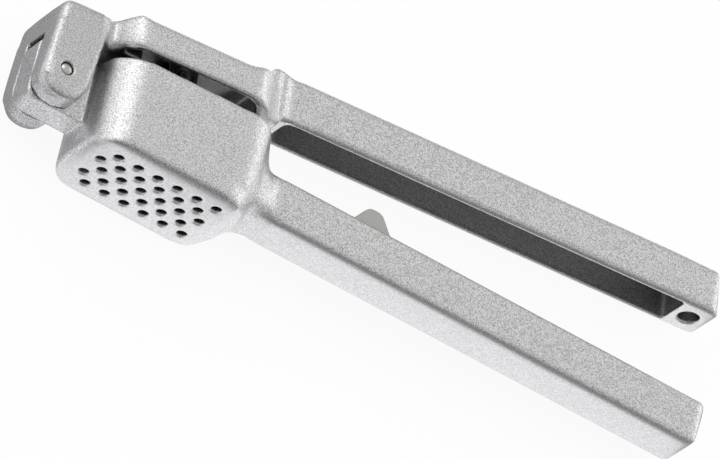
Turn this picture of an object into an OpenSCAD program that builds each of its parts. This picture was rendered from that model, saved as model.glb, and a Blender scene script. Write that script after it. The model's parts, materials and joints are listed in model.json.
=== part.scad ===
// Garlic press lying on its side: two die-cast arms joined by a cross pin at the hinge end.
// The lower arm carries a hopper with a perforated floor. The upper arm carries a lid and
// the swinging press foot below it. A plastic cleaning comb is stored in the lower handle.
// X runs from the hinge to the handle ends, Y is the pressing direction, and Z is the pivot axis.

/* [Arms] */
// Distance from the pivot axis to the handle ends, measured at the open side of the channels
arm_reach = 170.5; // [150:0.5:190]
// Angle between the two arms in the rest pose
rest_open = 4.5; // [3:0.1:9]
// Angle between the two arms when the press is squeezed shut
closed_open = 1; // [0.9:0.1:1.8]

/* [Handles] */
// Width of both handles
handle_w = 12; // [11:0.5:15]
// Height of both handles in the pressing direction
handle_h = 11.4; // [10:0.2:14]
// Thickness of the channel's side walls
handle_wall = 1.4; // [1.2:0.1:2.2]
// Thickness of the channel's back
handle_back = 1.8; // [1.2:0.1:3]
// Height of the lower handle's rim above the pivot axis
lower_rim = 4; // [2:0.1:5]
// Height of the upper handle's rim above the pivot axis, with the arms parallel
upper_rim = 13.3; // [12.5:0.1:17]
// Draft angle of the handle end faces
end_draft = 8; // [0:1:12]
// Corner radius of the handle ends, seen along the pressing direction
end_corner = 3.2; // [1:0.2:4]
// Radius along the outer edges of the handle backs
back_edge = 2; // [0.5:0.1:2.5]
// Radius along the outer edges of the handle rims
rim_edge = 1; // [0.3:0.1:1.1]
// Corner radius inside the channels
channel_corner = 2; // [0.5:0.1:3]
// Length of solid metal at the end of the upper handle
upper_end = 8.9; // [8.5:0.1:14]
// Thickness of the wall that closes the lower channel
lower_end = 2.6; // [2:0.1:6]

/* [Hanging hole] */
// Diameter of the hole through the end of the upper handle
hang_d = 4.8; // [4:0.1:5.4]
// Distance from the hole's axis to the end of the handle
hang_setback = 4.9; // [4.2:0.1:5.4]
// Chamfer at both mouths of the hole
hang_chamfer = 0.4; // [0.2:0.1:0.6]

/* [Hopper] */
// Distance from the pivot axis to the hopper's hinge-side wall
hopper_start = 9.5; // [9.2:0.1:11]
// Outside length of the hopper at its rim
hopper_len = 40.7; // [39:0.1:46]
// Outside width of the hopper, and of the lid above it
hopper_w = 25.5; // [24:0.5:30]
// Corner radius of the hopper's outline
hopper_corner = 9; // [7:0.2:10]
// Thickness of the hopper's walls
hopper_wall = 2.4; // [1.8:0.1:3]
// Thickness of the perforated floor
floor_t = 2.4; // [1.8:0.1:3]
// Depth of the perforated face below the pivot axis
floor_drop = 12.8; // [12.4:0.1:15]
// Height of the rim above the pivot axis, at the hinge side
rim_rise = 9.6; // [8.6:0.1:9.7]
// Slope of the rim, rising toward the handles
rim_slope = 2.1; // [0:0.1:2.2]
// Radius along the bottom edges
floor_edge = 2.4; // [1.5:0.1:3.2]
// Distance that the perforated face ends short of the rim's far end
floor_setback = 1.9; // [1:0.1:3]
// Length of the ramp from the perforated face up to the underside of the handle
floor_ramp = 4.6; // [4:0.1:6]
// Distance that the far wall leans out from the rim to the handle
far_lean = 2; // [1:0.1:2.5]
// Fillet where the far wall and the ramp run into the handle
root_fillet = 6; // [3:0.2:7]

/* [Waist] */
// Distance before the hopper's far end at which the sides start to close in
waist_lead = 2.7; // [2:0.1:4]
// Distance from the hopper's far end to the narrowest point of both arms
waist_run = 4.2; // [3.8:0.1:7]
// Width of both arms at the narrowest point
waist_w = 8.6; // [8:0.2:11]
// Distance from the narrowest point to the corner where the handles start
shoulder_run = 1.1; // [0.8:0.1:2]
// Radius of the corner where the handles start
shoulder_corner = 2.6; // [1:0.1:2.8]

/* [Perforation] */
// Diameter of the holes
hole_d = 2.2; // [1.6:0.1:2.6]
// Distance between the holes of a row
hole_pitch = 5; // [4:0.1:5.2]
// Distance between the rows
row_pitch = 3.5; // [3:0.1:3.8]
// Number of rows across the hopper
rows = 5; // [3:1:5]
// Number of holes in a row
row_holes = 6; // [3:1:6]
// Distance that the pattern lies off the hopper's middle, toward the hinge
pattern_shift = 0.8; // [0:0.1:1.4]
// Chamfer around each hole's outer mouth
hole_chamfer = 0.3; // [0.1:0.1:0.4]

/* [Hinge head] */
// Width of the head over its two ears
head_w = 19; // [18:0.5:23]
// Width of the slot between the ears
slot_w = 7.2; // [6:0.2:8]
// Side clearance of the lug in the slot
lug_clear = 0.2; // [0.1:0.05:0.4]
// Distance that the ears reach beyond the pivot axis, level with it
ear_reach = 5.3; // [5.2:0.1:6]
// Distance from the pivot axis to the ears' hopper-side edge, level with it
ear_back = 6.3; // [5.5:0.1:6.6]
// Depth of the ears below the pivot axis
ear_drop = 6.6; // [6:0.1:7]
// Lean of the ears' hinge-side edge
front_lean = 7.8; // [0:0.1:8.5]
// Lean of the ears' hopper-side edge
back_lean = 11; // [8:0.5:11]
// Corner radius at the bottom of the ears
ear_corner = 4.8; // [2:0.2:5]
// Corner radius of the head's hinge side, seen along the pressing direction
head_corner = 3; // [1:0.2:3.4]
// Height of the head's top above the pivot axis
head_rise = 17.3; // [16.5:0.1:18.5]
// Height of the bridge's underside above the pivot axis
bridge_rise = 10.1; // [10:0.1:11]
// Height of the lug's top above the pivot axis
lug_rise = 8.8; // [7:0.1:8.8]
// Corner radius of the lug's top
lug_corner = 2.2; // [2.2:0.1:3]

/* [Lid] */
// Height of the lid's lower edge above the pivot axis
lid_edge = 10.8; // [10.7:0.1:12]
// Height of the lid's top above the pivot axis
lid_top = 18.9; // [18.3:0.1:20.6]
// Corner radius of the lid at the hinge side
lid_corner = 6; // [4:0.2:8]
// Distance that the lid starts behind the hopper's hinge-side wall
lid_setback = 1.6; // [0.5:0.1:2.5]
// Thickness of the lid's walls and roof
lid_wall = 2.2; // [1.6:0.1:2.6]
// Width of the neck between the head and the lid
neck_w = 14.4; // [12:0.2:16]
// Length of the ramp from the head's top up to the lid's top
neck_ramp = 6; // [5:0.1:8]
// Length of the step from the lid's top up to the handle's back
step_run = 2.5; // [2:0.1:3]

/* [Pivot pin] */
// Diameter of the pivot pin
pin_d = 3.2; // [2.6:0.1:4]
// Radial running clearance of the lug on the pin, and of the seats on the foot's pin
pin_clear = 0.06; // [0.04:0.01:0.1]
// Depth of the pin's rim below the ears' faces
pin_inset = 0.5; // [0.3:0.1:1]
// Height of the pin's domed ends
pin_dome = 0.4; // [0.2:0.1:0.5]

/* [Press foot] */
// Gap between the foot and the perforated floor, with the press shut
foot_lift = 0.3; // [0.2:0.1:1]
// Thickness of the foot
foot_t = 3.5; // [2.5:0.1:4.5]
// Gap between the foot and the hopper's side walls
foot_side_gap = 0.4; // [0.3:0.05:0.8]
// Gap between the foot and the hopper's hinge-side wall, with the press shut
foot_near_gap = 0.5; // [0.4:0.1:1]
// Gap between the foot and the hopper's far wall, which it needs for its arc
foot_far_gap = 2; // [1.9:0.1:3]
// Height of the foot's pivot above the arms' pivot axis
foot_pivot_rise = 13; // [12.6:0.1:13.2]
// Distance from the hopper's hinge-side wall to the foot's pivot
foot_pivot_run = 20.5; // [19:0.1:22]
// Turn of the foot for each degree that the upper arm turns
swing_ratio = 0.08; // [0.06:0.01:0.09]
// Width of the foot's stem across the press
stem_w = 6; // [5:0.2:7]
// Length of the stem where it meets the foot
stem_base = 16; // [10:0.5:20]
// Diameter of the foot's pin
foot_pin_d = 3; // [2.4:0.1:3.2]
// Thickness of metal around the pin in the stem
eye_wall = 1.6; // [1.2:0.1:2]
// Thickness of the two ribs that carry the pin
rib_t = 2.4; // [2:0.1:2.8]
// Thickness of metal around the pin in the ribs
rib_wall = 1.9; // [1.4:0.1:2.4]
// Width of the mouth through which the pin snaps into each rib
seat_mouth = 2.5; // [2:0.1:2.6]

/* [Cleaning comb] */
// Distance from the pivot axis to the middle of the comb's thumb tab
comb_run = 82.4; // [78:0.2:125]
// Length of the comb's bar
comb_len = 40; // [36:1:46]
// Thickness of the bar
comb_t = 2.8; // [2:0.1:3]
// Depth of the bar below the handle's rim
comb_inset = 0.6; // [0.4:0.1:1]
// Gap between the comb and the channel's walls and back
comb_clear = 0.3; // [0.2:0.05:0.5]
// Height of the tab above the handle's rim
tab_rise = 6.8; // [5:0.1:7.2]
// Length of the tab where it meets the bar
tab_base = 16; // [12:0.5:20]
// Length of the tab at its top
tab_top = 3.2; // [3:0.1:6]
// Radius of the tab's top corners
tab_round = 2.6; // [1:0.1:2.6]
// Thickness of the tab
tab_t = 4; // [3:0.1:5]
// Diameter of the pegs that push through the perforation
peg_d = 1.8; // [1.4:0.1:2]

/* [Hidden] */
$fn = 48;

ARC_STEPS = 7;                   // chords in each rounded corner
FAR = 60;                        // reach of a cutting or bounding solid past its outline
SKIN = 1;                        // overlap that lets a cut break through a face
SOFT = 1.2;                      // radius of the castings' lesser edges

handle_floor = lower_rim - handle_h;
handle_top = upper_rim + handle_h;
channel_w = handle_w - 2 * handle_wall;
end_run = arm_reach - handle_h * tan(end_draft);
hopper_end = hopper_start + hopper_len;
floor_end = hopper_end - floor_setback;
rim_far = rim_rise + hopper_len * tan(rim_slope);
inner_corner = hopper_corner - hopper_wall;
waist_x = hopper_end + waist_run;
shoulder_x = waist_x + shoulder_run;
lid_start = hopper_start + lid_setback;
lug_w = slot_w - 2 * lug_clear;
lug_end = -ear_reach + lug_clear;
pattern_x = hopper_start + hopper_len / 2 - pattern_shift;
foot_pivot = [hopper_start + foot_pivot_run, foot_pivot_rise];
swing_rest = swing_ratio * (rest_open - closed_open);

// ---- outlines ----

function unit(v) = v / norm(v);

// Points of the arc that rounds one corner of an outline
function corner_arc(corner, before, after, r) =
    let (u = unit(before - corner), w = unit(after - corner), half = acos(u * w) / 2)
    let (middle = corner + unit(u + w) * r / sin(half))
    let (from = corner + u * r / tan(half) - middle, to = corner + w * r / tan(half) - middle)
    let (a = atan2(from.y, from.x), sweep = (atan2(to.y, to.x) - a + 540) % 360 - 180)
    [for (i = [0:ARC_STEPS]) middle + r * [cos(a + sweep * i / ARC_STEPS), sin(a + sweep * i / ARC_STEPS)]];

function flat2(p) = [p[0], p[1]];

// Outline with each [x, y, radius] corner rounded, or left sharp where the radius is 0
function rounded(pts) = [
    for (i = [0:len(pts) - 1])
        let (p = pts[i], before = pts[(i + len(pts) - 1) % len(pts)], after = pts[(i + 1) % len(pts)])
        each p[2] == 0 ? [flat2(p)] : corner_arc(flat2(p), flat2(before), flat2(after), p[2])
];

function turned(pts, angle) = [
    for (p = pts) [p.x * cos(angle) - p.y * sin(angle), p.x * sin(angle) + p.y * cos(angle)]
];

// Rectangle centred on the X axis of its plane, with its own radius at each end
function bar(x0, x1, w, r0, r1) = rounded([
    [x0, -w / 2, r0],
    [x1, -w / 2, r1],
    [x1, w / 2, r1],
    [x0, w / 2, r0]
]);

// Half of the outline that the hopper or the lid makes with its handle, seen along Y
function waisted_half(start, corner, side) = [
    [start, side * hopper_w / 2, corner],
    [hopper_end - waist_lead, side * hopper_w / 2, hopper_corner],
    [waist_x, side * waist_w / 2, SOFT],
    [shoulder_x, side * handle_w / 2, shoulder_corner],
    [arm_reach, side * handle_w / 2, end_corner]
];

function waisted(start, corner) = rounded([
    each waisted_half(start, corner, -1),
    for (half = [waisted_half(start, corner, 1)], i = [1:len(half)]) half[len(half) - i]
]);

// Side view of the lower arm without its hinge lug
lower_side = rounded([
    [hopper_start, -floor_drop, floor_edge],
    [floor_end, -floor_drop, floor_edge],
    [floor_end + floor_ramp, handle_floor, root_fillet],
    [end_run, handle_floor, back_edge],
    [arm_reach, lower_rim, SOFT],
    [hopper_end + far_lean, lower_rim, root_fillet],
    [hopper_end, rim_far, SOFT],
    [hopper_start, rim_rise, SOFT]
]);

// Side view of the upper arm, from the neck to the handle end
upper_side = rounded([
    [ear_back, lid_edge, 0],
    [waist_x - SOFT, lid_edge, SOFT],
    [waist_x + SOFT / 2, upper_rim, SOFT],
    [arm_reach, upper_rim, SOFT],
    [end_run, handle_top, back_edge],
    [waist_x - back_edge, handle_top, back_edge],
    [waist_x - back_edge - step_run, lid_top, SOFT],
    [hopper_start + neck_ramp, lid_top, neck_ramp / 2],
    [hopper_start, head_rise, neck_ramp / 2],
    [ear_back, head_rise, 0]
]);

ear_front_at = function (y) -ear_reach + y * tan(front_lean);
ear_back_at = function (y) ear_back + y * tan(back_lean);

// Side view of the hinge head with its ears
head_side = rounded([
    [ear_front_at(-ear_drop), -ear_drop, ear_corner],
    [ear_back_at(-ear_drop), -ear_drop, ear_corner],
    [ear_back_at(head_rise), head_rise, 0],
    [ear_front_at(head_rise), head_rise, back_edge]
]);

// The rest pose fills a box that stands on the origin
lever_outline = turned(concat(upper_side, head_side), rest_open);
reach_x = [
    min(concat([for (p = lever_outline) p.x], [lug_end])),
    max(concat([for (p = lever_outline) p.x], [for (p = lower_side) p.x]))
];
reach_y = [-floor_drop, max([for (p = lever_outline) p.y])];
to_origin = [-(reach_x[0] + reach_x[1]) / 2, -(reach_y[0] + reach_y[1]) / 2, hopper_w / 2];

// ---- placing ----

// Extrudes an X-Y outline across the press
module side_view(w) {
    translate([0, 0, -w / 2]) linear_extrude(w) children();
}

// Extrudes an X-Z outline between two heights
module plan_view(y0, y1) {
    translate([0, y1, 0]) rotate([90, 0, 0]) linear_extrude(y1 - y0) children();
}

// Extrudes a Y-Z outline along the press
module end_view(x0, x1) {
    translate([x0, 0, 0]) rotate([90, 0, 90]) linear_extrude(x1 - x0) children();
}

module in_place() {
    translate(to_origin) children();
}

// Puts what belongs to the upper arm at its rest angle
module on_lever() {
    in_place() rotate([0, 0, rest_open]) children();
}

// Puts what is drawn about the foot's pivot, level with the shut hopper, at its rest angle
module on_foot() {
    on_lever() translate(foot_pivot) rotate([0, 0, swing_rest - closed_open]) children();
}

// ---- lower arm ----

module hopper_outside() {
    intersection() {
        union() {
            plan_view(handle_floor, rim_far) polygon(waisted(hopper_start, hopper_corner));
            plan_view(-floor_drop, handle_floor)
                polygon(bar(hopper_start, hopper_end, hopper_w, hopper_corner, hopper_corner));
            plan_view(-floor_drop, handle_floor)
                polygon(bar(hopper_end - hopper_corner, waist_x, waist_w, 0, 0));
        }
        side_view(hopper_w + SKIN) polygon(lower_side);
        end_view(0, waist_x) polygon(rounded([
            [-floor_drop, -hopper_w / 2, floor_edge],
            [FAR, -hopper_w / 2, 0],
            [FAR, hopper_w / 2, 0],
            [-floor_drop, hopper_w / 2, floor_edge]
        ]));
    }
}

module lower_handle() {
    intersection() {
        plan_view(handle_floor, lower_rim) polygon(waisted(hopper_start, hopper_corner));
        side_view(handle_w + SKIN) polygon(lower_side);
        end_view(hopper_end, arm_reach) polygon(rounded([
            [handle_floor, -handle_w / 2, back_edge],
            [lower_rim, -handle_w / 2, rim_edge],
            [lower_rim, handle_w / 2, rim_edge],
            [handle_floor, handle_w / 2, back_edge]
        ]));
    }
}

module hopper_inside() {
    plan_view(-floor_drop + floor_t, rim_far + SKIN)
        polygon(bar(hopper_start + hopper_wall, hopper_end - hopper_wall,
            hopper_w - 2 * hopper_wall, inner_corner, inner_corner));
}

// Straight hole from the origin along Z, with a chamfer that widens each mouth named
module chamfered_hole(d, len, chamfer, mouths) {
    translate([0, 0, -SKIN]) cylinder(d = d, h = len + 2 * SKIN);
    for (end = mouths) translate([0, 0, end * len]) mirror([0, 0, end])
        translate([0, 0, -chamfer]) cylinder(d1 = d + 4 * chamfer, d2 = d, h = 2 * chamfer);
}

module perforation() {
    for (row = [0:rows - 1], i = [0:row_holes - 1]) {
        stagger = row % 2 == 0 ? hole_pitch / 4 : -hole_pitch / 4;
        x = pattern_x + (i - (row_holes - 1) / 2) * hole_pitch + stagger;
        z = (row - (rows - 1) / 2) * row_pitch;
        translate([x, -floor_drop, z]) rotate([-90, 0, 0]) chamfered_hole(hole_d, floor_t, hole_chamfer, [0]);
    }
}

module lug() {
    root = hopper_start + hopper_wall;
    side_view(lug_w) polygon(rounded([
        [lug_end, -ear_drop, lug_corner],
        [root, -ear_drop, 0],
        [root, lug_rise, 0],
        [lug_end, lug_rise, lug_corner]
    ]));
}

module chamber_arm() {
    color("silver") in_place() difference() {
        union() {
            hopper_outside();
            lower_handle();
            lug();
        }
        hopper_inside();
        perforation();
        plan_view(handle_floor + handle_back, lower_rim + SKIN)
            polygon(bar(shoulder_x + handle_wall, arm_reach - lower_end,
                channel_w, channel_corner, channel_corner));
        cylinder(r = pin_d / 2 + pin_clear, h = head_w, center = true);
    }
}

// ---- upper arm ----

module head() {
    difference() {
        intersection() {
            side_view(head_w + SKIN) polygon(head_side);
            plan_view(-ear_drop, head_rise)
                polygon(bar(ear_front_at(-ear_drop), ear_back_at(head_rise), head_w, head_corner, SOFT));
        }
        translate([-FAR / 2, -FAR + bridge_rise, -slot_w / 2]) cube([FAR, FAR, slot_w]);
    }
}

module neck() {
    side_view(neck_w) intersection() {
        polygon(upper_side);
        translate([ear_back, 0]) square([hopper_start + hopper_corner - ear_back, head_rise + SKIN]);
    }
}

module lid() {
    intersection() {
        plan_view(lid_edge, handle_top) polygon(waisted(lid_start, lid_corner));
        side_view(hopper_w + SKIN) polygon(upper_side);
        end_view(0, waist_x) polygon(rounded([
            [0, -hopper_w / 2, 0],
            [lid_top, -hopper_w / 2, back_edge],
            [lid_top, -handle_w / 2, 0],
            [handle_top, -handle_w / 2, back_edge],
            [handle_top, handle_w / 2, back_edge],
            [lid_top, handle_w / 2, 0],
            [lid_top, hopper_w / 2, back_edge],
            [0, hopper_w / 2, 0]
        ]));
    }
}

module upper_handle() {
    intersection() {
        plan_view(upper_rim, handle_top) polygon(waisted(lid_start, lid_corner));
        side_view(handle_w + SKIN) polygon(upper_side);
        end_view(hopper_end, arm_reach) polygon(rounded([
            [upper_rim, -handle_w / 2, rim_edge],
            [handle_top, -handle_w / 2, back_edge],
            [handle_top, handle_w / 2, back_edge],
            [upper_rim, handle_w / 2, rim_edge]
        ]));
    }
}

module lid_inside() {
    plan_view(lid_edge - SKIN, lid_top - lid_wall)
        polygon(bar(lid_start + lid_wall, hopper_end - SOFT,
            hopper_w - 2 * lid_wall, lid_corner - lid_wall, hopper_corner - lid_wall));
}

// Rib with the snap-in seat that carries one end of the press foot's pin
module foot_rib() {
    half = foot_pin_d / 2 + rib_wall;
    low = foot_pivot.y - half;
    translate([foot_pivot.x, 0, stem_w / 2 + lug_clear]) linear_extrude(rib_t) difference() {
        translate([-half, low]) square([2 * half, lid_top - lid_wall / 2 - low]);
        translate([-seat_mouth / 2, 0]) square([seat_mouth, foot_pivot.y]);
        translate([0, foot_pivot.y]) circle(r = foot_pin_d / 2 + pin_clear);
    }
}

module lever_arm() {
    color("silver") on_lever() difference() {
        union() {
            head();
            neck();
            difference() {
                union() {
                    lid();
                    upper_handle();
                }
                lid_inside();
            }
            foot_rib();
            mirror([0, 0, 1]) foot_rib();
        }
        plan_view(upper_rim - SKIN, handle_top - handle_back)
            polygon(bar(shoulder_x + handle_wall, arm_reach - upper_end, channel_w, channel_corner, SOFT));
        translate([arm_reach - hang_setback, upper_rim, 0]) rotate([-90, 0, 0])
            chamfered_hole(hang_d, handle_h, hang_chamfer, [0, 1]);
        cylinder(d = pin_d, h = head_w + SKIN, center = true);
    }
}

// ---- pins ----

// Pin across the press with shallow domed ends
module domed_pin(d, len) {
    ball = (d * d / 4 + pin_dome * pin_dome) / (2 * pin_dome);
    cylinder(d = d, h = len, center = true);
    for (end = [0, 1]) mirror([0, 0, end]) intersection() {
        translate([0, 0, len / 2 + pin_dome - ball]) sphere(r = ball);
        translate([0, 0, len / 2 - SKIN]) cylinder(d = d, h = SKIN + pin_dome);
    }
}

module pivot_pin() {
    color("gainsboro") on_lever() domed_pin(pin_d, head_w - 2 * pin_inset);
}

module press_foot_pin() {
    color("gainsboro") on_foot() domed_pin(foot_pin_d, stem_w + 2 * (lug_clear + rib_t));
}

// ---- press foot, drawn about its pivot ----

module press_foot() {
    pivot = turned([foot_pivot], closed_open)[0];
    near = hopper_start + hopper_wall + foot_near_gap - pivot.x;
    far = hopper_end - hopper_wall - foot_far_gap - pivot.x;
    base = -floor_drop + floor_t + foot_lift - pivot.y;
    plate_w = hopper_w - 2 * (hopper_wall + foot_side_gap);
    plate_corner = inner_corner - foot_side_gap;
    eye = foot_pin_d / 2 + eye_wall;
    color("darkgray") on_foot() difference() {
        union() {
            plan_view(base, base + foot_t) polygon(bar(near, far, plate_w, plate_corner, plate_corner));
            side_view(stem_w) polygon([
                [-stem_base / 2, base + foot_t / 2],
                [stem_base / 2, base + foot_t / 2],
                [eye, 0],
                [-eye, 0]
            ]);
            cylinder(r = eye, h = stem_w, center = true);
        }
        cylinder(d = foot_pin_d, h = stem_w + SKIN, center = true);
    }
}

// ---- cleaning comb ----

module cleaning_comb() {
    bar_top = lower_rim - comb_inset;
    bar_w = channel_w - 2 * comb_clear;
    peg_tip = handle_floor + handle_back + comb_clear;
    color("tan") in_place() translate([comb_run, 0, 0]) {
        plan_view(bar_top - comb_t, bar_top)
            polygon(bar(-comb_len / 2, comb_len / 2, bar_w, channel_corner, channel_corner));
        side_view(tab_t) polygon(rounded([
            [-tab_base / 2, bar_top - comb_t / 2, 0],
            [tab_base / 2, bar_top - comb_t / 2, 0],
            [tab_top / 2, lower_rim + tab_rise, tab_round],
            [-tab_top / 2, lower_rim + tab_rise, tab_round]
        ]));
        for (i = [0:row_holes - 1])
            translate([(i - (row_holes - 1) / 2) * hole_pitch, peg_tip, 0])
                rotate([-90, 0, 0]) cylinder(d = peg_d, h = bar_top - comb_t / 2 - peg_tip);
    }
}

chamber_arm();
lever_arm();
pivot_pin();
press_foot();
press_foot_pin();
cleaning_comb();
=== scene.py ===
# %% [markdown]
# # A garlic press, dressed around its fixed frame
# The press is six pieces: two die castings, two steel pins, a press foot and a plastic comb.
# The frame brings every piece at its true size and place, so the work here is about surfaces:
# the soft edges that a casting has, the pebbled metallic coat, polished pin ends, smooth
# plastic, and a plain bright studio in which a curved metal face can show its shape.

# %% Load the frame and take its measures
import json
from math import cos, inf, pi, radians, sin

import bmesh
import bpy
from mathutils import Matrix, Vector


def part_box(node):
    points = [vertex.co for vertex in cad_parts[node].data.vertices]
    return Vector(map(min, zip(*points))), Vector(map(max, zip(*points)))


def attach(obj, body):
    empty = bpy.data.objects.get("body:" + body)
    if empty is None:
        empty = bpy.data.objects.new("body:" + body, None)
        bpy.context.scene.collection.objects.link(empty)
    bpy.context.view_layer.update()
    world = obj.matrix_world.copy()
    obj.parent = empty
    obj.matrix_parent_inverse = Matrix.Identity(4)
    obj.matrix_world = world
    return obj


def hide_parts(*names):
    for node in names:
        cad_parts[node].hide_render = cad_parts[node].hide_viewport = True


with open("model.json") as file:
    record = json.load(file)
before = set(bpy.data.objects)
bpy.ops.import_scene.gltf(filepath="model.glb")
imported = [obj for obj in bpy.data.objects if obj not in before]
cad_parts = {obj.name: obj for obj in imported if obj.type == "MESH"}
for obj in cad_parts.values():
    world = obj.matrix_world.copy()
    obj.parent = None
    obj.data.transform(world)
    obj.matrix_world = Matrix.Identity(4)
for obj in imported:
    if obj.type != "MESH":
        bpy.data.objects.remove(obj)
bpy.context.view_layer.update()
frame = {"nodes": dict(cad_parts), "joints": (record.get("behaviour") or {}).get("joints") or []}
MM = 0.001
print("frame pieces:", sorted(frame["nodes"]))

# %% [markdown]
# Both arms are easiest to think about in their own frames. The lower arm's frame has its origin
# on the pivot pin, with X along the handle, Y up towards the other arm and Z out to the side.
# The upper arm's is the same one turned by the angle at which the press lies open, and the
# press foot's is turned a little less. Working in the shared frame would do as well, but every
# edge of the tilted arm would then need a slanted sum.

# %% The pivot and the arms' own frames
REST_OPEN = radians(4.5)
FOOT_TURN = radians(3.78)
pivot = Vector(next(j["pos_m"] for j in frame["joints"] if j["name"] == "arm_hinge"))


def own_frame(turn):
    """Millimetres about the pivot, turned with an arm, to metres in the shared frame."""
    return Matrix.Translation(pivot) @ Matrix.Rotation(turn, 4, "Z") @ Matrix.Scale(MM, 4)


LOWER = own_frame(0)
UPPER = own_frame(REST_OPEN)
FOOT = own_frame(FOOT_TURN)
print("pivot at", [round(c / MM, 2) for c in pivot])

# %% [markdown]
# The view is a long lens from far away, so the arms keep almost parallel sides. A camera can be
# turned by hand until it looks right. Here it is placed by the direction it looks from, its
# distance and its roll about that direction, because each of these can then be set by itself.
# The last two lengths move it across and down, to put the press in the middle of the picture.

# %% Camera
VIEW_AZIMUTH = radians(-34.638)
VIEW_ELEVATION = radians(49.084)
VIEW_ROLL = radians(55.714)
VIEW_DISTANCE = 2.0
LENS_MM = 470.83
SENSOR_MM = 36
FARTHEST = 10
AIMED_FROM = (17.83, -12.8, 0)
ACROSS_MM = -54.831
DOWN_MM = -12.408


def place_camera():
    """Look back at the press along one direction, rolled about it."""
    back = Vector((sin(VIEW_AZIMUTH) * cos(VIEW_ELEVATION),
                   -cos(VIEW_AZIMUTH) * cos(VIEW_ELEVATION), sin(VIEW_ELEVATION)))
    level = Vector((0, 0, 1)).cross(back).normalized()
    upright = back.cross(level)
    right = cos(VIEW_ROLL) * level + sin(VIEW_ROLL) * upright
    up = cos(VIEW_ROLL) * upright - sin(VIEW_ROLL) * level
    data = bpy.data.cameras.new("Camera")
    data.sensor_width = SENSOR_MM
    data.lens = LENS_MM
    data.clip_end = FARTHEST
    camera = bpy.data.objects.new("Camera", data)
    bpy.context.scene.collection.objects.link(camera)
    anchor = pivot + Vector(AIMED_FROM) * MM
    where = anchor - ACROSS_MM * MM * right + DOWN_MM * MM * up + back * VIEW_DISTANCE
    turn = Matrix((right, up, back)).transposed().to_4x4()
    camera.matrix_world = Matrix.Translation(where) @ turn
    bpy.context.scene.camera = camera
    return camera


camera = place_camera()
print("lens", round(camera.data.lens, 1), "mm at", [round(c, 3) for c in camera.location])

# %% [markdown]
# A die casting has no sharp outer edge. Its mould is milled with round cutters, its walls meet
# in fillets, and the metallic coat rounds what is left. Each fillet could be modelled by hand,
# but where several meet that takes longer than the shape deserves. Here a copy of the frame's
# solid is merged, laid over with an even skin of small quads, and smoothed with as many passes
# as each region's edges need: many on the outside of the hopper and the ears, few on thin rims
# and round holes. Where a skin has more triangles than it needs, it is thinned at the end.

# %% Casting skin
SKIN_MM = 0.3
SAME_POINT_MM = 0.002


def evaluated_copy(obj):
    """Put an object's mesh, as its modifiers leave it, in place of the mesh it had."""
    graph = bpy.context.evaluated_depsgraph_get()
    made = bpy.data.meshes.new_from_object(obj.evaluated_get(graph))
    obj.modifiers.clear()
    old = obj.data
    obj.data = made
    bpy.data.meshes.remove(old)


def cast_skin(node, name, place, regions, swell=None, keep=1.0):
    """Skin a copy of a frame piece, in its own frame; regions are (passes, test) pairs."""
    mesh = frame["nodes"][node].data.copy()
    obj = bpy.data.objects.new(name, mesh)
    bpy.context.scene.collection.objects.link(obj)
    bm = bmesh.new()
    bm.from_mesh(mesh)
    bmesh.ops.transform(bm, matrix=place.inverted(), verts=bm.verts)
    bmesh.ops.remove_doubles(bm, verts=bm.verts, dist=SAME_POINT_MM)
    bm.to_mesh(mesh)
    bm.free()
    remesh = obj.modifiers.new("Skin", "REMESH")
    remesh.mode = "VOXEL"
    remesh.voxel_size = SKIN_MM
    evaluated_copy(obj)
    bm = bmesh.new()
    bm.from_mesh(obj.data)
    if swell:
        for vertex in bm.verts:
            vertex.co += Vector(swell(*vertex.co))
    for passes, inside in regions:
        chosen = [v for v in bm.verts if inside(*v.co)]
        for _ in range(passes):
            bmesh.ops.smooth_vert(bm, verts=chosen, factor=0.5,
                                  use_axis_x=True, use_axis_y=True, use_axis_z=True)
    bm.to_mesh(obj.data)
    bm.free()
    if keep < 1:
        thin = obj.modifiers.new("Thin", "DECIMATE")
        thin.ratio = keep
        evaluated_copy(obj)
    obj.data.transform(place)
    for face in obj.data.polygons:
        face.use_smooth = True
    obj.data.materials.clear()
    print(name, sum(len(face.vertices) - 2 for face in obj.data.polygons), "triangles")
    return obj


print("skin quads of", SKIN_MM, "mm")

# %% [markdown]
# A region is a test that says whether a point belongs to it. Vertex groups painted by hand
# would do the same job, but they are lost when a size changes. Tests written in millimetres
# along the arm, up, and out from its middle plane can be read and moved.

# %% Regions of an arm
ANYWHERE = (-inf, inf)


def ramp(value, start, end):
    """0 at start and 1 at end, with soft ends."""
    share = min(max((value - start) / (end - start), 0), 1)
    return share * share * (3 - 2 * share)


def block(along=ANYWHERE, up=ANYWHERE, out=ANYWHERE):
    """Points between limits along the arm, up, and out from the middle plane."""
    def inside(x, y, z):
        return (along[0] < x < along[1] and up[0] < y < up[1]
                and out[0] < abs(z) < out[1])
    return inside


def off_the_bore(radius):
    """Points farther than a radius from the pivot's axis."""
    def inside(x, y, z):
        return x * x + y * y > radius ** 2
    return inside


HANDLE_START = 58
BORE_CLEAR = off_the_bore(2.4)
print("handles start", HANDLE_START, "mm from the pivot")

# %% [markdown]
# The lower arm is one casting: hinge lug, hopper with its perforated floor, and a handle that
# is an open channel. It is smoothed most on the hopper's outside. The perforated face keeps
# crisp holes, and the thin rims of the channel keep most of their height. Smoothing alone would
# pinch the waist between hopper and handle, so a straight flank fills it first.

# %% Lower arm
WAIST = (48, 59)
FLANK_START = 47
FLANK_START_HALF_WIDTH = 11.5
FLANK_SLOPE = 0.59
SOLID_CORE_END = 56
SOLID_CORE_HALF_WIDTH = 2.8
CHANNEL_HALF_WIDTH = 4.7
FLANK_BLEND = 1.2

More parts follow.
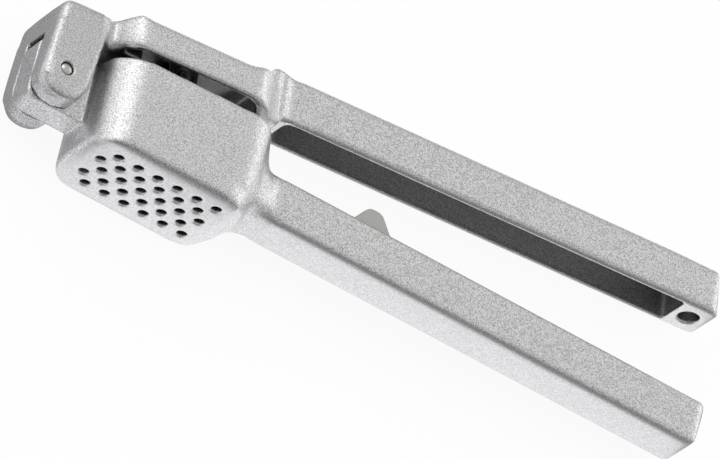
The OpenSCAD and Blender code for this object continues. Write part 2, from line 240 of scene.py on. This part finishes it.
perforated_face = block(along=(13.5, 45.2), up=(-inf, -9), out=(-inf, 9))
hopper = block(along=(8.9, HANDLE_START))
hopper_end_low = block(along=(43, 59), up=(-inf, -3))


def hopper_walls(x, y, z):
    return hopper(x, y, z) and not perforated_face(x, y, z)


def hopper_end_walls(x, y, z):
    return hopper_end_low(x, y, z) and hopper_walls(x, y, z)


def waist_fill(x, y, z):
    """Push the waist's sides out to a straight flank; its core and the channel stay."""
    core = SOLID_CORE_HALF_WIDTH if x < SOLID_CORE_END else CHANNEL_HALF_WIDTH
    flank = FLANK_START_HALF_WIDTH - FLANK_SLOPE * (x - FLANK_START)
    in_waist = WAIST[0] < x < WAIST[1] and abs(z) > core
    missing = max(flank - abs(z), 0) if in_waist else 0
    sideways = ramp(abs(z), core, core + FLANK_BLEND)
    out = missing * sideways * ramp(y, 5, 1) * ramp(y, -9.5, -5.5)
    return (0, 0, out if z > 0 else -out)


lower_arm = cast_skin("chamber_arm", "lower_arm", LOWER, [
    (3, BORE_CLEAR),
    (30, hopper_walls),
    (40, hopper_end_walls),
    (80, block(along=(46, HANDLE_START), up=(-inf, -3))),
    (70, block(along=(47, 60), up=(-inf, 2.5), out=(4.9, inf))),
    (8, block(along=(HANDLE_START, inf))),
], swell=waist_fill, keep=0.5)
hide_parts("chamber_arm")
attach(lower_arm, "chamber")

# %% [markdown]
# The upper arm is the other casting: two ears that hold the pivot pin, a neck, the lid over the
# hopper and the second handle. The two ears are the roundest part, because their outer edges
# roll over into the sides. The slot between them stays crisp, because the lug turns in it. Wide
# fillets eat into an outline, so what they round is first swollen a little.

# %% Upper arm
HEAD_END = 9.5
EAR_GROWTH = -0.55
LID_END_SHIFT = -0.9
LID_END_RISE = 1.2
NECK_RISE = 0.7
BACK_EDGE_RISE = 0.25

ear_block = block(along=(-inf, HEAD_END), out=(4.6, inf))
ear_bore_clear = off_the_bore(2.7)
lid_rim_band = block(along=(9, 53), up=(9, 13.6))


def ears(x, y, z):
    return ear_block(x, y, z) and ear_bore_clear(x, y, z)


def lid_rim(x, y, z):
    return lid_rim_band(x, y, z) and (abs(z) > 10.4 or x < 12.5)


def upper_swell(x, y, z):
    """How far the ears' ends, the lid's end, the neck and the handle's back edges grow."""
    ear = EAR_GROWTH * ramp(y, -2.5, -6) * ramp(x, 8.5, 5) * ramp(abs(z), 5, 9)
    lid_end = LID_END_SHIFT * ramp(x, 44, 49) * ramp(x, 54.2, 51.5) * ramp(y, 9, 11)
    lid_end_rise = LID_END_RISE * ramp(x, 41, 48) * ramp(x, 57, 53)
    neck_rise = NECK_RISE * ramp(x, 8, 10.5) * ramp(x, 17, 13)
    back_edge = BACK_EDGE_RISE * ramp(x, 56, 60) * ramp(x, 168, 155)
    back_edge = back_edge * ramp(abs(z), 2, 5) * ramp(y, 19, 23)
    top = (lid_end_rise + neck_rise) * ramp(y, 13, 16) + back_edge
    return (lid_end, ear + top, 0)


upper_arm = cast_skin("lever_arm", "upper_arm", UPPER, [
    (3, BORE_CLEAR),
    (45, ears),
    (70, block(along=(-inf, HEAD_END), up=(-inf, -2.8), out=(7, inf))),
    (45, block(along=(-inf, HEAD_END), up=(11.5, inf))),
    (80, block(along=(7, 14), up=(9.5, inf))),
    (20, block(along=(9, HANDLE_START), up=(9.5, inf))),
    (34, lid_rim),
    (8, block(along=(HANDLE_START, inf), up=(15, inf))),
    (20, block(along=(HANDLE_START, inf), up=(-inf, 16), out=(5.1, inf))),
], swell=upper_swell, keep=0.6)
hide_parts("lever_arm")
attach(upper_arm, "lever")

# %% [markdown]
# The press foot is the small plunger under the lid: a plate with a stem and an eye. It is cast
# like the arms, so it gets the same skin, with a few passes for slightly soft edges. Most of it
# lies in the hopper when the press is shut, so nothing finer would be seen.

# %% Press foot


def everywhere(x, y, z):
    return True


press_foot = cast_skin("press_foot", "foot", FOOT, [(8, everywhere)], keep=0.5)
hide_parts("press_foot")
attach(press_foot, "foot")

# %% [markdown]
# The comb is an injection moulding with a row of pegs that push the last garlic out of the
# holes. It lies in the lower handle with its tab standing up. A bevel would do for its edges,
# but the same skin with fewer passes also softens where the pegs meet the bar.

# %% Comb
comb = cast_skin("cleaning_comb", "comb", LOWER, [(4, everywhere)], keep=0.5)
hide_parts("cleaning_comb")
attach(comb, "comb")

# %% [markdown]
# The pins are short lengths of ground steel rod. Their ends are domed, and lie a little below
# the ears' faces, so each one shows as a bright dot with a ring around it, darkened with painted
# shade. A skin of quads would blur so small a shape, so the profile of half a pin is spun about
# its axis instead.
# Each point of the profile is a share of the pin's radius and a drop below its end in mm.

# %% Pins
DOME = [(0, 0), (0.15, 0.012), (0.3, 0.05), (0.45, 0.113), (0.6, 0.204), (0.72, 0.3),
        (0.82, 0.397), (0.9, 0.49), (0.93, 0.62), (0.94, 1.0), (1, 1.2), (1, 2.2)]
PIN_STEPS = 64
SAME_POINT_M = 1e-6


def spun_pin(name, node, profile):
    """A pin with two like ends, as long and as wide as its frame piece."""
    low, high = (Vector(corner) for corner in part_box(node))
    centre = (low + high) / 2
    half = (high.z - low.z) / 2
    radius = (high.x - low.x) / 2
    bm = bmesh.new()
    points = [bm.verts.new((r * radius, 0, sign * (half - drop * MM)))
              for sign, ends in ((1, profile), (-1, reversed(profile))) for r, drop in ends]
    for start, end in zip(points, points[1:]):
        bm.edges.new((start, end))
    bmesh.ops.spin(bm, geom=bm.verts[:] + bm.edges[:], cent=(0, 0, 0), axis=(0, 0, 1),
                   angle=2 * pi, steps=PIN_STEPS, use_merge=True)
    bmesh.ops.remove_doubles(bm, verts=bm.verts, dist=SAME_POINT_M)
    bmesh.ops.recalc_face_normals(bm, faces=bm.faces)
    bmesh.ops.translate(bm, verts=bm.verts, vec=centre)
    mesh = bpy.data.meshes.new(name)
    bm.to_mesh(mesh)
    bm.free()
    for face in mesh.polygons:
        face.use_smooth = True
    pin = bpy.data.objects.new(name, mesh)
    bpy.context.scene.collection.objects.link(pin)
    print(name, "radius", round(radius / MM, 2), "length", round(2 * half / MM, 2))
    return pin


hinge_pin = spun_pin("hinge_pin", "pivot_pin", DOME)
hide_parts("pivot_pin")
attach(hinge_pin, "lever")
foot_pin = spun_pin("foot_pin", "press_foot_pin", DOME)
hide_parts("press_foot_pin")
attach(foot_pin, "foot")

# %% [markdown]
# A material is a graph of nodes. It can be wired one link at a time, but then the sum behind a
# mask is hard to see. `Field` wraps one socket, so that `1 - mask` or `grain * 0.5 + 0.5` adds
# the Math nodes by itself.

# %% Shader arithmetic


class Field:
    """One socket of a graph, with the arithmetic that adds Math nodes to it."""

    def __init__(self, graph, socket):
        self.graph = graph
        self.socket = socket

    def _math(self, operation, *values, clamp=False):
        node = self.graph.tree.nodes.new("ShaderNodeMath")
        node.operation = operation
        node.use_clamp = clamp
        for slot, value in zip(node.inputs, values):
            self.graph.feed(slot, value)
        return Field(self.graph, node.outputs[0])

    def __add__(self, other):
        return self._math("ADD", self, other)

    def __radd__(self, other):
        return self._math("ADD", other, self)

    def __sub__(self, other):
        return self._math("SUBTRACT", self, other)

    def __rsub__(self, other):
        return self._math("SUBTRACT", other, self)

    def __mul__(self, other):
        return self._math("MULTIPLY", self, other)

    def __rmul__(self, other):
        return self._math("MULTIPLY", other, self)

    def __truediv__(self, other):
        return self._math("DIVIDE", self, other)

    def __pow__(self, other):
        return self._math("POWER", self, other)

    def __abs__(self):
        return self._math("ABSOLUTE", self)

    def clamped(self):
        """Kept between 0 and 1."""
        return self._math("ADD", self, 0.0, clamp=True)

    def most(self, other):
        """The larger of two values."""
        return self._math("MAXIMUM", self, other)


def rise(field, start, length):
    """0 up to a start, then up to 1 over a length."""
    return ((field - start) / length).clamped()


def fall(field, end, length):
    """1 until a length before an end, then down to 0 there."""
    return ((end - field) / length).clamped()


print("fields add, subtract, multiply, divide, take powers and absolute values")

# %% [markdown]
# Every other node comes from one method, `Graph.add`. It takes the node's type, its settings,
# which are made first because they can change the sockets, and what goes into its inputs. An
# input name that a node has twice, such as Shader on Mix Shader, takes a list. The method
# fails when a name matches nothing, so that a spelling mistake can't pass unseen.

# %% Node graphs
COLOUR_MIX = {"data_type": "RGBA"}
COLOUR_RESULT = 2
AXES = ("X", "Y", "Z")


class Graph:
    """A node tree that is filled by name."""

    def __init__(self, tree):
        self.tree = tree
        tree.nodes.clear()

    def feed(self, slot, value):
        if isinstance(value, Field):
            self.tree.links.new(value.socket, slot)
        else:
            slot.default_value = value

    def add(self, kind, settings=None, out=0, **inputs):
        node = self.tree.nodes.new(kind)
        for key, value in (settings or {}).items():
            setattr(node, key, value)
        for name, value in inputs.items():
            wanted = name.replace("_", " ").lower()
            slots = [s for s in node.inputs if s.name.lower() == wanted and s.enabled]
            values = value if isinstance(value, list) else [value]
            for slot, given in zip(slots, values, strict=True):
                self.feed(slot, given)
        return Field(self, node.outputs[out]) if len(node.outputs) else None

    def mixed(self, share, first, second):
        """A colour that goes from the first to the second."""
        return self.add("ShaderNodeMix", COLOUR_MIX, out=COLOUR_RESULT,
                        Factor=share, A=first, B=second)

    def axes(self, kind):
        """The three parts of a texture coordinate."""
        place = self.add("ShaderNodeTexCoord", out=kind)
        parted = self.add("ShaderNodeSeparateXYZ", Vector=place).socket.node
        return [Field(self, parted.outputs[axis]) for axis in AXES]


def graph_for(name):
    material = bpy.data.materials.new(name)
    material.use_nodes = True
    return material, Graph(material.node_tree)


print("a colour mix gives its colour at output", COLOUR_RESULT)

# %% [markdown]
# The coat on the castings is not the same all over. The perforated face and the channel's floor
# are calmer. Its colour also holds painted light: painted shade on the waist's flanks, the ears
# and a band above the upper handle's rim, a painted highlight low on the hopper's far end, and
# painted shade in hollows and inside the hopper and lid, where little light reaches the metal.
# Painted masks would need an unwrapped surface. Masks worked out from the point's place in the
# arm's own frame need none, and they turn with the arm. Their numbers are millimetres:
# `rise(x, 52, 6)` starts 52 mm along the arm and is full 6 mm later.

# %% Where the coat changes


def own_place(g, frame_of_piece):
    """Millimetres about the pivot in an arm's own frame, as three fields."""
    here = g.axes("Object")
    rows = frame_of_piece.inverted()
    x, y = (here[0] * rows[i][0] + here[1] * rows[i][1] + rows[i][3] for i in (0, 1))
    return x, y, here[2] * rows[2][2] + rows[2][3]


def lower_zones(g):
    """Where the lower arm's coat is calm, takes painted shade and a painted highlight, takes
    painted shade in hollows, and its inside.
    """
    x, y, z = own_place(g, LOWER)
    plate = fall(y, -12.2, 0.4)
    floor = fall(y, -6.6, 0.4) * rise(x, 52, 6)
    # Painted shade on the waist's flanks, and a painted highlight low on the hopper's far end.
    flank = rise(x, 43, 4) * fall(x, 59, 2) * fall(y, 6, 3)
    far_end = rise(x, 42, 5) * fall(y, -9.5, 2)
    thin = flank * rise(y, -9, 3) * 0.5 - far_end * 0.8
    # Hollows take painted shade, and the hopper's inside takes more.
    deep = rise(x, 16, 3).most(fall(x, 9.8, 0.6))
    inside = fall(abs(z), 10.9, 0.5) * rise(y, -9, 4) * rise(x, 11, 2)
    return plate.most(floor), thin, deep, inside


def upper_zones(g):
    """The same four for the upper arm: rim and ears calm, painted shade on the ears and on a band
    above the handle's rim.
    """
    x, y, z = own_place(g, UPPER)
    handle = rise(x, 60, 4)
    rim = fall(y, 14.0, 0.4) * handle
    # The ears take calmer flakes and painted shade; the edge mask is a band of painted shade
    # above the handle's rim.
    ear = 1 - rise(x, 8, 2)
    edge = fall(y, 14.9, 0.4) * rise(y, 13.45, 0.2) * handle
    lid = rise(x, 10, 2) * fall(x, 53, 2)
    inside = fall(abs(z), 10.7, 0.5) * (17.5 - y).clamped() * lid
    return rim.most(ear * 0.4), ear.most(edge * 2), 1 - ear * 0.9, inside


def foot_zones(g):
    """The foot is the same all over, and all of it lies inside the press, so it takes painted
    shade in every hollow.
    """
    return 0.0, 0.0, 1.0, 1.0


print("zones: calm, thin, deep, inside")

# %% [markdown]
# The coat looks like a satin metallic lacquer full of fine flakes, over slightly pebbled metal.
# A picture of such a coat would show its repeat. Two fine noises give the flakes their tone
# and the pebbles their relief, and a painted shade is mixed into the colour where the surface
# looks into a hollow.

# %% Casting coat
FLAKE_SCALE = 3500.0
PEBBLE_SCALE = 2400.0
PEBBLE_HEIGHT = 0.00007
FLAKE_CONTRAST = 5.0
CALM_LOSS = 3.4
COAT_TONE = 0.6
PAINTED_LIGHT_STEP = 0.16
FLAKE_RELIEF = 0.4
COAT_ROUGHNESS = 0.36
ROUGHNESS_SPREAD = 0.2
FLAKE_DARK = (0.46, 0.465, 0.47, 1)
FLAKE_BRIGHT = (1.0, 1.0, 1.0, 1)
# Painted shade colours: the first for the arms' hollows, the second, darker, for the foot.
HOLLOW_PAINTED_SHADE = (0.2, 0.197, 0.195, 1)
HIDDEN_PAINTED_SHADE = (0.1, 0.098, 0.096, 1)
HOLLOW_REACH = 0.02


def coat(name, closed_from, soft, zones, shade=HOLLOW_PAINTED_SHADE):
    """Flaked lacquer with painted light in its colour: zones of painted shade and highlight, and
    painted shade where a hollow is closed by more than a share.
    """
    material, g = graph_for(name)
    calm, thin, deep, inside = zones(g)
    place = g.add("ShaderNodeTexCoord", out="Object")
    flake = g.add("ShaderNodeTexNoise", Vector=place, Scale=FLAKE_SCALE, Detail=2.0,
                  Roughness=0.7)
    pebble = g.add("ShaderNodeTexNoise", Vector=place, Scale=PEBBLE_SCALE, Detail=1.5,
                   Roughness=0.5)
    spread = FLAKE_CONTRAST - CALM_LOSS * calm
    # The second zone paints shade into the tone, and a highlight where it is below zero.
    tone = ((flake - 0.5) * spread + (COAT_TONE - PAINTED_LIGHT_STEP * thin)).clamped()
    bump = g.add("ShaderNodeBump", Strength=1.0, Distance=PEBBLE_HEIGHT,
                 Height=flake * FLAKE_RELIEF + pebble)
    tint = g.mixed(tone, FLAKE_DARK, FLAKE_BRIGHT)
    # Ambient occlusion paints shade into the base colour where the surface looks into a hollow.
    hollow = 1 - g.add("ShaderNodeAmbientOcclusion", {"samples": 8}, out="AO",
                       Distance=HOLLOW_REACH)
    dark = ((hollow + inside * 0.2 - closed_from) / soft).clamped()
    dark = dark * deep * (0.8 + inside * 0.15)
    shader = g.add("ShaderNodeBsdfPrincipled", Base_Color=g.mixed(dark, tint, shade),
                   Metallic=1.0, Normal=bump,
                   Roughness=COAT_ROUGHNESS + (0.5 - flake) * ROUGHNESS_SPREAD)
    g.add("ShaderNodeOutputMaterial", Surface=shader)
    return material


lower_arm.data.materials.append(coat("silver_coat_lower", 0.5, 0.4, lower_zones))
upper_arm.data.materials.append(coat("silver_coat_upper", 0.5, 0.4, upper_zones))
# The foot takes a darker painted shade, as it lies inside the press.
press_foot.data.materials.append(coat("foot_coat", 0.45, 0.35, foot_zones, shade=HIDDEN_PAINTED_SHADE))
for piece in (lower_arm, upper_arm, press_foot):
    print(piece.name, "wears", piece.data.materials[0].name)

# %% [markdown]
# The pins are bare steel, so they shine more than the coat does, and the narrow ring around
# each end is darkened with painted shade. The ring could be a second material on chosen faces,
# but painting shade into what lies down in the gap needs no faces picked by hand.

# %% Pin steel
STEEL = (0.66, 0.64, 0.61, 1)
# The second colour is painted shade, for the ring around each pin end.
STEEL_PAINTED_SHADE = (0.10, 0.095, 0.09, 1)
RING_REACH = 0.004


def pin_steel():
    """Ground steel, with painted shade down in the ring around its end."""
    material, g = graph_for("ground_steel")
    hollow = 1 - g.add("ShaderNodeAmbientOcclusion", {"samples": 8}, out="AO",
                       Distance=RING_REACH)
    tint = g.mixed(rise(hollow, 0.2, 0.4), STEEL, STEEL_PAINTED_SHADE)
    shader = g.add("ShaderNodeBsdfPrincipled", Base_Color=tint, Metallic=1.0, Roughness=0.14)
    g.add("ShaderNodeOutputMaterial", Surface=shader)
    return material


steel = pin_steel()
for piece in (hinge_pin, foot_pin):
    piece.data.materials.append(steel)
    print(piece.name, "wears", steel.name)

# %% [markdown]
# The comb is moulded grey-beige plastic with a very fine even texture and a slightly cloudy
# colour. One plain colour would look like card next to the metal.
# A fine noise for the texture and a wide one for the clouds are enough.

# %% Comb plastic
TEXTURE_SCALE = 3000.0
TEXTURE_HEIGHT = 0.00003
CLOUD_SCALE = 120.0
PLASTIC_DARK = (0.345, 0.345, 0.325, 1)
PLASTIC_LIGHT = (0.405, 0.405, 0.385, 1)


def comb_plastic():
    """Moulded plastic: a fine texture in the surface, wide soft clouds in the colour."""
    material, g = graph_for("comb_plastic")
    place = g.add("ShaderNodeTexCoord", out="Object")
    texture = g.add("ShaderNodeTexNoise", Vector=place, Scale=TEXTURE_SCALE, Detail=1.0,
                    Roughness=0.5)
    cloud = g.add("ShaderNodeTexNoise", Vector=place, Scale=CLOUD_SCALE, Detail=2.0,
                  Roughness=0.5)
    bump = g.add("ShaderNodeBump", Strength=0.5, Distance=TEXTURE_HEIGHT, Height=texture)
    tint = g.mixed(cloud, PLASTIC_DARK, PLASTIC_LIGHT)
    shader = g.add("ShaderNodeBsdfPrincipled", Base_Color=tint,
                   Roughness=0.42 + (texture - 0.5) * 0.1, Normal=bump)
    g.add("ShaderNodeOutputMaterial", Surface=shader)
    return material


comb.data.materials.append(comb_plastic())
print(comb.name, "wears", comb.data.materials[0].name)

# %% [markdown]
# Polished metal shows its surroundings, so a studio lights it with large white cards and black
# ones. Area lights could stand for the cards. Here they are soft lobes of the sky, each with a
# direction and a tightness, because a lobe casts no hard edge into the metal. The camera itself
# sees plain white.

# %% Sky cards
SKY_LEVEL = 0.63
BRIGHT_CARDS = {
    "tall": ((-0.45, 0.54, 0.71), 20, 1.3),
    "side": ((0.83, 0.54, 0.14), 14, 1.0),
    "left": ((-0.82, 0.54, 0.15), 8, 0.35),
}
BLACK_CARDS = {
    "front": ((0.37, -0.85, 0.35), 5, 0.7),
    "rear": ((0.37, 0.92, 0.12), 10, 0.38),
    "viewer": ((-0.34, -0.68, 0.65), 8, 0.7),
}


def lobe(way, direction, tightness):
    """1 where the sky looks straight along a direction, soft to 0 around it."""
    x, y, z = Vector(direction).normalized()
    return (way[0] * x + way[1] * y + way[2] * z).clamped() ** tightness


def studio():
    """A sky of cards for the metal, and plain white for the camera."""
    world = bpy.data.worlds.new("Studio")
    world.use_nodes = True
    bpy.context.scene.world = world
    g = Graph(world.node_tree)
    seen = g.add("ShaderNodeLightPath", out="Is Camera Ray")
    way = g.axes("Generated")
    level = SKY_LEVEL
    for direction, tightness, strength in BRIGHT_CARDS.values():
        level = level + strength * lobe(way, direction, tightness)
    for direction, tightness, strength in BLACK_CARDS.values():
        level = level * (1 - strength * lobe(way, direction, tightness))
    back = g.add("ShaderNodeBackground", Color=(1, 1, 1, 1), Strength=level * (1 - seen) + seen)
    g.add("ShaderNodeOutputWorld", Surface=back)


studio()
print("cards:", sorted(BRIGHT_CARDS), "black:", sorted(BLACK_CARDS))

# %% [markdown]
# The press lies on a pale table. A shiny side that faces it shows only white, so dark strips
# around the press give it something to reflect. To reflections the table glows like a lamp, and
# the strips are painted shade in that glow, by the hinge, the ears and the handle's end, in front
# of the press, behind it and to its left. The strips are seen by reflections alone: the camera
# gets white paper with the object's own soft shadow. Strips made as objects would cast shadows
# of their own.

# %% Table
TABLE_HALF = 1.5
PAPER = (0.9, 0.9, 0.91, 1)
CARD_GLOW = (0.985, 0.975, 1, 1)
# The colour of the strips: painted shade in the table's glow.
STRIP_PAINTED_SHADE = (0, 0, 0, 1)
GLOW_STRENGTH = 1.07
WHITE_SHARE = 0.92


def painted_shade_strips(g):
    """The painted shade on the table's glow, in metres across and along, where metal reflects it.
    """
    across, along, _ = g.axes("Object")
    hinge = fall(across, -0.066, 0.010) * (1 - fall(across, -0.110, 0.015))
    hinge = hinge * rise(along, -0.030, 0.008) * 0.62
    front = fall(along, -0.036, 0.030) * rise(across, -0.052, 0.012) * 0.62
    behind = rise(along, 0.050, 0.040) * 0.4
    end = rise(across, 0.093, 0.008) * fall(along, 0.050, 0.010) * 0.6
    left = fall(across, -0.045, 0.030) * 0.12
    ear = fall(along, -0.035, 0.006) * (1 - fall(along, -0.062, 0.010))
    ear = ear * fall(across, -0.058, 0.010) * 0.7
    return hinge.most(front).most(behind).most(end).most(left).most(ear)


def table_top():
    """One wide square that is white to the camera, and to reflections a glow striped with painted
    shade.
    """
    bm = bmesh.new()
    bmesh.ops.create_grid(bm, x_segments=1, y_segments=1, size=TABLE_HALF)
    mesh = bpy.data.meshes.new("table")
    bm.to_mesh(mesh)
    bm.free()
    table = bpy.data.objects.new("table", mesh)
    bpy.context.scene.collection.objects.link(table)
    material, g = graph_for("white_table")
    camera_ray = g.add("ShaderNodeLightPath", out="Is Camera Ray")
    glossy_ray = Field(g, camera_ray.socket.node.outputs["Is Glossy Ray"])
    paper = g.add("ShaderNodeBsdfDiffuse", Color=PAPER)
    card = g.mixed(painted_shade_strips(g), CARD_GLOW, STRIP_PAINTED_SHADE)
    glow = g.add("ShaderNodeEmission", Color=card, Strength=GLOW_STRENGTH)
    white = g.add("ShaderNodeEmission", Color=(1, 1, 1, 1), Strength=1.0)
    in_metal = g.add("ShaderNodeMixShader", Fac=glossy_ray, Shader=[paper, glow])
    surface = g.add("ShaderNodeMixShader", Fac=camera_ray * WHITE_SHARE, Shader=[in_metal, white])
    g.add("ShaderNodeOutputMaterial", Surface=surface)
    mesh.materials.append(material)
    return table


table = table_top()
print("table", [round(side, 2) for side in table.dimensions])

# %% [markdown]
# Metal lives on reflections, but the plastic comb is matte and would stay too dim under the
# same sky. A brighter sky would burn out the metal. A wide sun that reflections can't see adds
# light to the comb and leaves the metal as it is.

# %% Fill light
FILL_STRENGTH = 1.2
FILL_WIDTH = radians(100)
FILL_FROM = (-0.2, -0.2, 0.95)


def fill_light():
    """A wide soft light that only matte surfaces take up."""
    data = bpy.data.lights.new("fill", "SUN")
    data.energy = FILL_STRENGTH
    data.angle = FILL_WIDTH
    lamp = bpy.data.objects.new("fill", data)
    bpy.context.scene.collection.objects.link(lamp)
    lamp.visible_glossy = False
    lamp.rotation_euler = Vector(FILL_FROM).to_track_quat("Z", "Y").to_euler()
    return lamp


lamp = fill_light()
bpy.context.scene.view_settings.view_transform = "Standard"
print("fill light", round(lamp.data.energy, 2))
